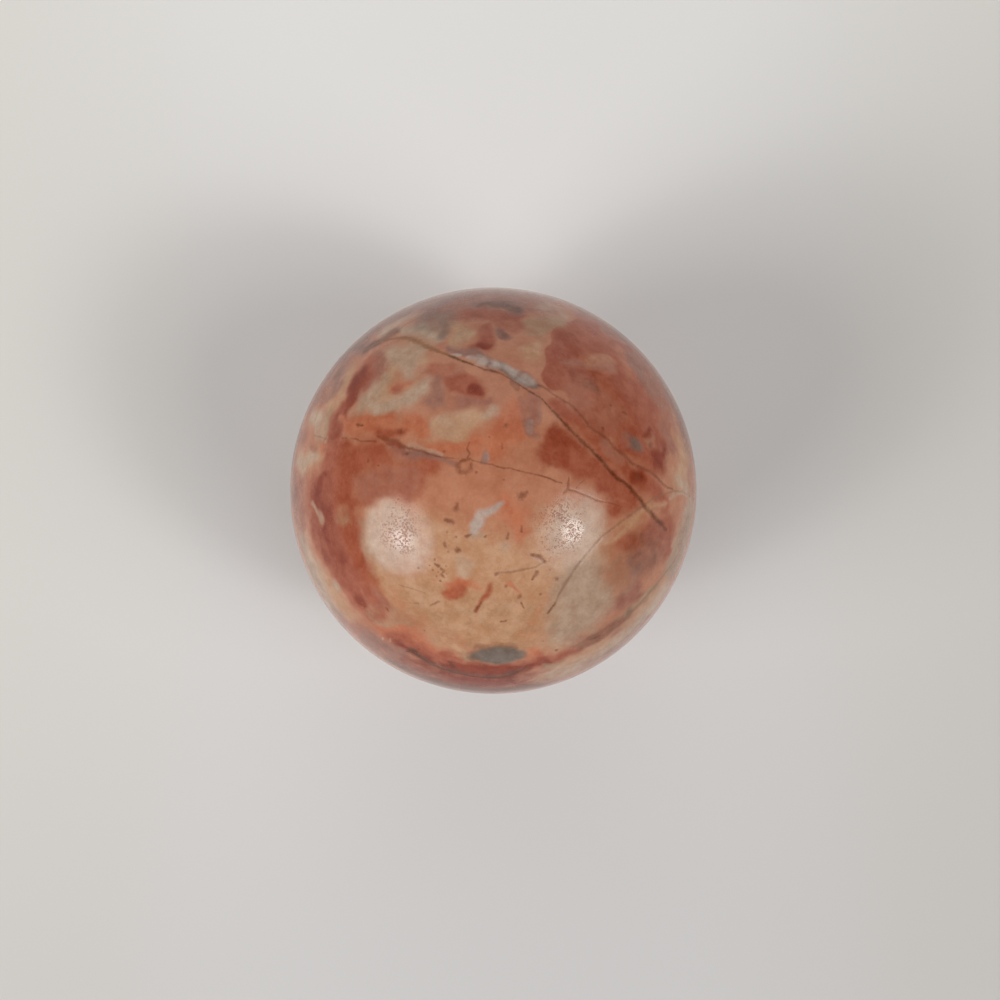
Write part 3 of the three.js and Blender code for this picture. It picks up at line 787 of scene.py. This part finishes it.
def line_points(route):
    """Points along a route over the surface, close together, with the half width at each."""
    points = np.array(route, float)
    if len(points) == 1:
        return on_ball(points[:, 0], points[:, 1]), points[:, 2]
    spans = np.hypot(*np.diff(points[:, :2], axis=0).T)
    along = np.concatenate([[0], np.cumsum(spans)])
    steps = np.linspace(0, along[-1], max(2, int(along[-1] / LINE_STEP)))
    right, beyond, half = (np.interp(steps, along, points[:, i]) for i in range(3))
    return on_ball(right, beyond), half


def wandering_line(chance, length, half):
    """A line that wanders over the hidden sides, and thins out at its ends."""
    place = chance.normal(size=3)
    place[2] = HIGHEST_START - LOW_STARTS * abs(place[2])
    place /= np.linalg.norm(place)
    way = np.cross(place, chance.normal(size=3))
    way /= np.linalg.norm(way)
    count = int(length / LINE_STEP)
    turns = np.cumsum(chance.normal(size=count)) * UNSTEADY
    turns -= np.linspace(0, turns[-1], count)
    points = []
    for turn in turns:
        bend = turn * LINE_STEP / BEND_LENGTH
        way = way * math.cos(bend) + np.cross(place, way) * math.sin(bend)
        place = place + way * LINE_STEP / RADIUS_MM
        place /= np.linalg.norm(place)
        way -= place * (way @ place)
        way /= np.linalg.norm(way)
        points.append(place * RADIUS_MM)
    thin = np.sin(np.linspace(0.1, math.pi - 0.1, count)) ** 0.5
    return np.array(points), half * thin


def hidden_lines(chance, kind):
    """The wandering lines of one kind, without what would reach the painted side."""
    count, shortest, longest = HIDDEN_LINES[kind]
    for _ in range(count):
        length = chance.uniform(shortest, longest)
        points, half = wandering_line(chance, length, chance.uniform(*HIDDEN_HALF_WIDTHS))
        hidden = np.hypot(*over_surface(points)) > HIDDEN_LINES_FROM
        yield points[hidden], half[hidden]


def gather_lines():
    """For each kind of line, the points that stand for it and the half width at each."""
    chance = np.random.default_rng(HIDDEN_LINES_SEED)
    gathered = {}
    for kind in LINE_KINDS:
        parts = [line_points(route) for route in LINES[kind]]
        parts.extend(hidden_lines(chance, kind))
        points = np.concatenate([part[0] for part in parts])
        half = np.concatenate([part[1] for part in parts])
        tree = KDTree(len(points))
        for index, point in enumerate(points):
            tree.insert(point, index)
        tree.balance()
        gathered[kind] = (tree, half)
    return gathered


def way_to_line(line, places):
    """How far each place is from the nearest point of a line, and the half width there."""
    tree, half = line
    found = [tree.find(place) for place in places]
    return np.array([hit[2] for hit in found]), half[[hit[1] for hit in found]]


def subdivide_faces(mesh, chosen):
    """Cuts each chosen face in four and puts the new corners on the ball."""
    for part in (mesh.vertices, mesh.edges):
        part.foreach_set("select", np.zeros(len(part), bool))
    mesh.polygons.foreach_set("select", chosen)
    bpy.ops.object.mode_set(mode="EDIT")
    bpy.ops.mesh.subdivide(number_cuts=1)
    bpy.ops.object.mode_set(mode="OBJECT")
    places = vertex_places(mesh)
    curved = places[:, 2] > ROUND_FROM
    places[curved] *= RADIUS_MM / np.linalg.norm(places[curved], axis=1, keepdims=True)
    move_vertices(mesh, places)


def grind_flat(mesh):
    """Cuts the ball off level where it stands, and closes the cut with a ring and a face."""
    bpy.ops.object.mode_set(mode="EDIT")
    bpy.ops.mesh.select_all(action="SELECT")
    bpy.ops.mesh.bisect(plane_co=(0, 0, 0), plane_no=(0, 0, 1), clear_inner=True)
    bpy.ops.object.mode_set(mode="OBJECT")
    near_cut = vertex_places(mesh)[:, 2] < FLAT_HEIGHT + 2 * SLIVER
    mesh.vertices.foreach_set("select", near_cut)
    bpy.ops.object.mode_set(mode="EDIT")
    bpy.ops.mesh.select_mode(type="VERT")
    bpy.ops.mesh.remove_doubles(threshold=SLIVER * MM)
    bpy.ops.mesh.select_mode(type="EDGE")
    bpy.ops.mesh.select_all(action="DESELECT")
    bpy.ops.mesh.select_non_manifold(extend=False)
    bpy.ops.mesh.edge_face_add()
    bpy.ops.mesh.select_mode(type="FACE")
    bpy.ops.mesh.inset(thickness=FLAT_RING * MM)
    bpy.ops.object.mode_set(mode="OBJECT")
    places = vertex_places(mesh)
    level = places[:, 2] < FLAT_HEIGHT + SLIVER / 4
    places[level, 2] = FLAT_HEIGHT
    move_vertices(mesh, places)


def store(mesh, name, values):
    """Keeps one number for each vertex, for the material to read."""
    kept = mesh.attributes.new(name, "FLOAT", "POINT")
    kept.data.foreach_set("value", values.astype(np.float32))


def rough_out():
    """A round ball with the flat that it stands on."""
    deselect_all()
    bpy.ops.mesh.primitive_ico_sphere_add(
        subdivisions=BALL_SUBDIVISIONS, radius=BALL_RADIUS, location=BALL_CENTRE
    )
    ball = bpy.context.object
    ball.name = "polished_ball"
    bpy.ops.object.transform_apply(location=True, rotation=True, scale=True)
    grind_flat(ball.data)
    return ball


def refine(mesh, lines):
    """Finer faces over the side that shows, and finer still beside the lines."""
    reach = np.hypot(*over_surface(face_places(mesh)))
    subdivide_faces(mesh, reach < FINE_CAP)
    places = face_places(mesh)
    beside = np.full(len(places), False)
    for line in lines.values():
        off, half = way_to_line(line, places)
        beside |= off < half + FINE_BESIDE_LINES
    subdivide_faces(mesh, beside)
    bpy.ops.object.mode_set(mode="EDIT")
    bpy.ops.mesh.select_all(action="SELECT")
    bpy.ops.mesh.quads_convert_to_tris()
    bpy.ops.mesh.normals_make_consistent(inside=False)
    bpy.ops.object.mode_set(mode="OBJECT")


def store_minerals(mesh):
    """Keeps how deep in each mineral the surface lies, and the patches under the lamp highlights where
    the pits are larger and hold more painted shade.
    """
    places = vertex_places(mesh)
    for name, depth in paint_minerals(places).items():
        store(mesh, name, depth)
    right, beyond = over_surface(places)
    # patches under the two lamp highlights, with larger pits and more painted shade in them
    highlight_speckle = np.max([inside_marking([patch], right, beyond) for patch in HIGHLIGHT_SPECKLE], axis=0)
    store(mesh, "highlight_speckle", ease(highlight_speckle, *HIGHLIGHT_SPECKLE_EDGE))


def store_lines(mesh, lines):
    """Keeps how many half widths off each kind of line is, and sinks its groove."""
    places = vertex_places(mesh)
    sunk = np.zeros(len(places))
    for kind, line in lines.items():
        off, half = way_to_line(line, places)
        widths_off = np.minimum(off / half, FAR_OFF)
        store(mesh, kind, widths_off)
        _, _, depth = LINE_KINDS[kind]
        groove = depth * (1 - ease(widths_off, *GROOVE_SIDE))
        sunk = np.maximum(sunk, groove)
    sunk[places[:, 2] < ROUND_FROM] = 0
    places *= (1 - sunk / RADIUS_MM)[:, None]
    move_vertices(mesh, places)


def make_ball():
    ball = rough_out()
    lines = gather_lines()
    refine(ball.data, lines)
    store_minerals(ball.data)
    store_lines(ball.data, lines)
    bpy.ops.object.shade_smooth()
    ball.data.materials.append(make_stone())
    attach(ball, "root")
    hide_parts("stone_sphere")


def new_group(name, inputs, outputs):
    """A shader node group with its sockets: each a name, a kind and a start value."""
    group = bpy.data.node_groups.new(name, "ShaderNodeTree")
    for socket, kind, start in inputs:
        made = group.interface.new_socket(socket, in_out="INPUT", socket_type="NodeSocket" + kind)
        if start is not None:
            made.default_value = start
    for socket, kind in outputs:
        group.interface.new_socket(socket, in_out="OUTPUT", socket_type="NodeSocket" + kind)
    return group, group.nodes.new("NodeGroupInput"), group.nodes.new("NodeGroupOutput")


def math_node(tree, operation, *values):
    made = put(tree, "ShaderNodeMath", dict(enumerate(values)), operation=operation)
    return made.outputs[0]


def mix_colours(tree, share, first, second, blend="MIX"):
    sockets = {0: share, 6: first, 7: second}
    made = put(tree, "ShaderNodeMix", sockets, data_type="RGBA", blend_type=blend)
    return made.outputs[2]


def noise(tree, point, pattern, seed):
    per_mm, detail, rough = PATTERNS[pattern]
    sockets = {"Vector": point, "W": seed, "Scale": per_mm / MM, "Detail": detail, "Roughness": rough}
    return put(tree, "ShaderNodeTexNoise", sockets, noise_dimensions="4D").outputs[0]


def rise(tree, value, start, end):
    """0 below start, 1 above end, with a soft step between them."""
    sockets = {"Value": value, "From Min": start, "From Max": end}
    made = put(tree, "ShaderNodeMapRange", sockets, interpolation_type="SMOOTHSTEP")
    return made.outputs["Result"]


def remap(tree, value, start, end, low, high):
    """Low below start, high above end, and evenly between them."""
    sockets = {"Value": value, "From Min": start, "From Max": end, "To Min": low, "To Max": high}
    return put(tree, "ShaderNodeMapRange", sockets).outputs["Result"]


def make_mineral_group():
    """Lays one mineral over the colour below it."""
    group, given, result = new_group(
        "mineral_layer",
        [
            ("Below", "Color", None),
            ("Depth", "Float", 0.0),
            ("Outline", "Float", 0.5),
            ("Mottle", "Float", 0.5),
            ("Ragged", "Float", 0.5),
            ("Dark Tone", "Color", None),
            ("Light Tone", "Color", None),
        ],
        [("Colour", "Color")],
    )
    centred = math_node(group, "SUBTRACT", given.outputs["Outline"], 0.5)
    ragged = math_node(group, "MULTIPLY", given.outputs["Ragged"], OUTLINE_WANDER)
    depth = math_node(group, "MULTIPLY_ADD", centred, ragged, given.outputs["Depth"])
    cover = rise(group, depth, -1.0, 1.0)
    dark, light = given.outputs["Dark Tone"], given.outputs["Light Tone"]
    tone = mix_colours(group, given.outputs["Mottle"], dark, light)
    colour = mix_colours(group, cover, given.outputs["Below"], tone)
    group.links.new(colour, result.inputs["Colour"])
    return group


def make_line_group():
    """Draws one kind of line over the colour below it, broken here and there."""
    group, given, result = new_group(
        "stone_line",
        [
            ("Below", "Color", None),
            ("Widths Off", "Float", FAR_OFF),
            ("Wobble", "Float", 0.5),
            ("Break", "Float", 0.5),
            ("Strength", "Float", 0.8),
            ("Tone", "Color", None),
        ],
        [("Colour", "Color")],
    )
    reach = (2 * LINE_WOBBLE, -LINE_WOBBLE)
    wobble = math_node(group, "MULTIPLY_ADD", given.outputs["Wobble"], *reach)
    off = math_node(group, "ADD", given.outputs["Widths Off"], wobble)
    line = math_node(group, "SUBTRACT", 1.0, rise(group, off, *LINE_EDGE))
    shown = remap(group, given.outputs["Break"], *LINE_BREAKS, LINE_FAINT, 1.0)
    strength = math_node(group, "MULTIPLY", given.outputs["Strength"], shown)
    cover = math_node(group, "MULTIPLY", line, strength)
    colour = mix_colours(group, cover, given.outputs["Below"], given.outputs["Tone"])
    group.links.new(colour, result.inputs["Colour"])
    return group


def make_pit_group():
    """Fine ragged pits of the polish: 1 in a pit, with more of them in patches."""
    inputs = [("Spacing", "Float", PIT_SPACING), ("Density", "Float", 0.0)]
    group, given, result = new_group("polish_pits", inputs, [("Pit", "Float")])
    point = put(group, "ShaderNodeTexCoord").outputs["Object"]
    sockets = {"Vector": point, "Scale": PIT_WANDERS_PER_MM / MM, "Detail": 2.0}
    wander = put(group, "ShaderNodeTexNoise", sockets).outputs["Color"]
    reach = (PIT_WANDER * MM,) * 3
    sockets = {0: wander, 1: reach, 2: point}
    point = put(group, "ShaderNodeVectorMath", sockets, operation="MULTIPLY_ADD").outputs[0]
    per_metre = math_node(group, "DIVIDE", 1 / MM, given.outputs["Spacing"])
    sockets = {"Vector": point, "Scale": per_metre, "Randomness": 1.0}
    cells = put(group, "ShaderNodeTexVoronoi", sockets, feature="F1")
    patches = noise(group, point, "pit_patches", PIT_PATCHES_SEED)
    usual = remap(group, patches, *PIT_PATCH_STEP, *PIT_SIZES)
    wider = math_node(group, "MULTIPLY", given.outputs["Density"], HIGHLIGHT_SPECKLE_WIDENING)
    size = math_node(group, "ADD", usual, wider)
    edge = math_node(group, "SUBTRACT", cells.outputs["Distance"], size)
    pit = math_node(group, "SUBTRACT", 1.0, rise(group, edge, *PIT_RIM))
    group.links.new(pit, result.inputs["Pit"])
    return group


def lay(tree, group, below, attribute, settings):
    """Lays one mineral or kind of line over the colour below, where its attribute says."""
    reader = put(tree, "ShaderNodeAttribute", attribute_name=attribute)
    sockets = {"Below": below, 1: reader.outputs["Fac"], **settings}
    return put(tree, "ShaderNodeGroup", sockets, node_tree=group).outputs["Colour"]


def lay_minerals(tree, point, outlines):
    """The clouded ground of the stone, with every mineral over it."""
    cloud = rise(tree, noise(tree, point, "cloud", CLOUD_SEED), *CLOUD_STEP)
    dark, light = GROUND_TONES
    colour = mix_colours(tree, cloud, opaque(dark), opaque(light))
    mottles = [
        rise(tree, noise(tree, point, "mottle", seed), *MOTTLE_STEP) for seed in MOTTLE_SEEDS
    ]
    mineral_layer = make_mineral_group()
    for index, (name, (dark, light, ragged, _)) in enumerate(MINERALS.items()):
        outline = outlines[index % len(outlines)]
        mottle = mottles[index % len(mottles)]
        settings = {"Outline": outline, "Mottle": mottle, "Ragged": ragged}
        tones = {"Dark Tone": opaque(dark), "Light Tone": opaque(light)}
        colour = lay(tree, mineral_layer, colour, name, {**settings, **tones})
    return colour


def lay_lines(tree, colour, fine, breaks):
    """Fine grain over the colour, and every kind of line over that."""
    grain = remap(tree, fine, *GRAIN_STEP, *GRAIN_SHADES)
    grained = put(tree, "ShaderNodeVectorMath", {0: colour, 1: grain}, operation="MULTIPLY")
    colour = grained.outputs[0]
    stone_line = make_line_group()
    for name, (tone, strength, _) in LINE_KINDS.items():
        settings = {"Wobble": fine, "Break": breaks, "Strength": strength, "Tone": opaque(tone)}
        colour = lay(tree, stone_line, colour, name, settings)
    return colour


def polish(tree, colour):
    """The colour under a gloss that fine pits break, each pit duller and darker with painted shade, more
    so under the two lamp highlights.
    """
    shader = tree.nodes["Principled BSDF"]
    highlight_speckle = put(tree, "ShaderNodeAttribute", attribute_name="highlight_speckle").outputs["Fac"]
    sockets = {"Spacing": PIT_SPACING, "Density": highlight_speckle}
    pits = put(tree, "ShaderNodeGroup", sockets, node_tree=make_pit_group()).outputs["Pit"]
    # painted shade in each pit, with more of it under the two lamp highlights
    share = math_node(tree, "MULTIPLY_ADD", highlight_speckle, HIGHLIGHT_SPECKLE_SHARE, PIT_SHADE_SHARE)
    pit_shade_colour = mix_colours(tree, share, colour, opaque(PIT_SHADE_COLOUR))
    tree.links.new(mix_colours(tree, pits, colour, pit_shade_colour), shader.inputs["Base Color"])
    roughness = remap(tree, pits, 0.0, 1.0, POLISH_ROUGHNESS, PIT_ROUGHNESS)
    tree.links.new(roughness, shader.inputs["Roughness"])
    shader.inputs["IOR"].default_value = STONE_IOR
    shader.inputs["Specular IOR Level"].default_value = GLOSS
    height = math_node(tree, "SUBTRACT", 1.0, pits)
    sockets = {"Height": height, "Distance": PIT_DEPTH * MM, "Strength": 1.0}
    bump = put(tree, "ShaderNodeBump", sockets)
    tree.links.new(bump.outputs["Normal"], shader.inputs["Normal"])


def make_stone():
    material = new_material("polished_stone")
    tree = material.node_tree
    point = put(tree, "ShaderNodeTexCoord").outputs["Object"]
    outlines = [noise(tree, point, "outline", seed) for seed in OUTLINE_SEEDS]
    fine = noise(tree, point, "grain", GRAIN_SEED)
    colour = lay_minerals(tree, point, outlines)
    colour = lay_lines(tree, colour, fine, outlines[1])
    polish(tree, colour)
    return material


bpy.context.scene.view_settings.view_transform = "Standard"
deselect_all()
make_camera()
make_lamps()
light_room()
make_floor()
make_ball()
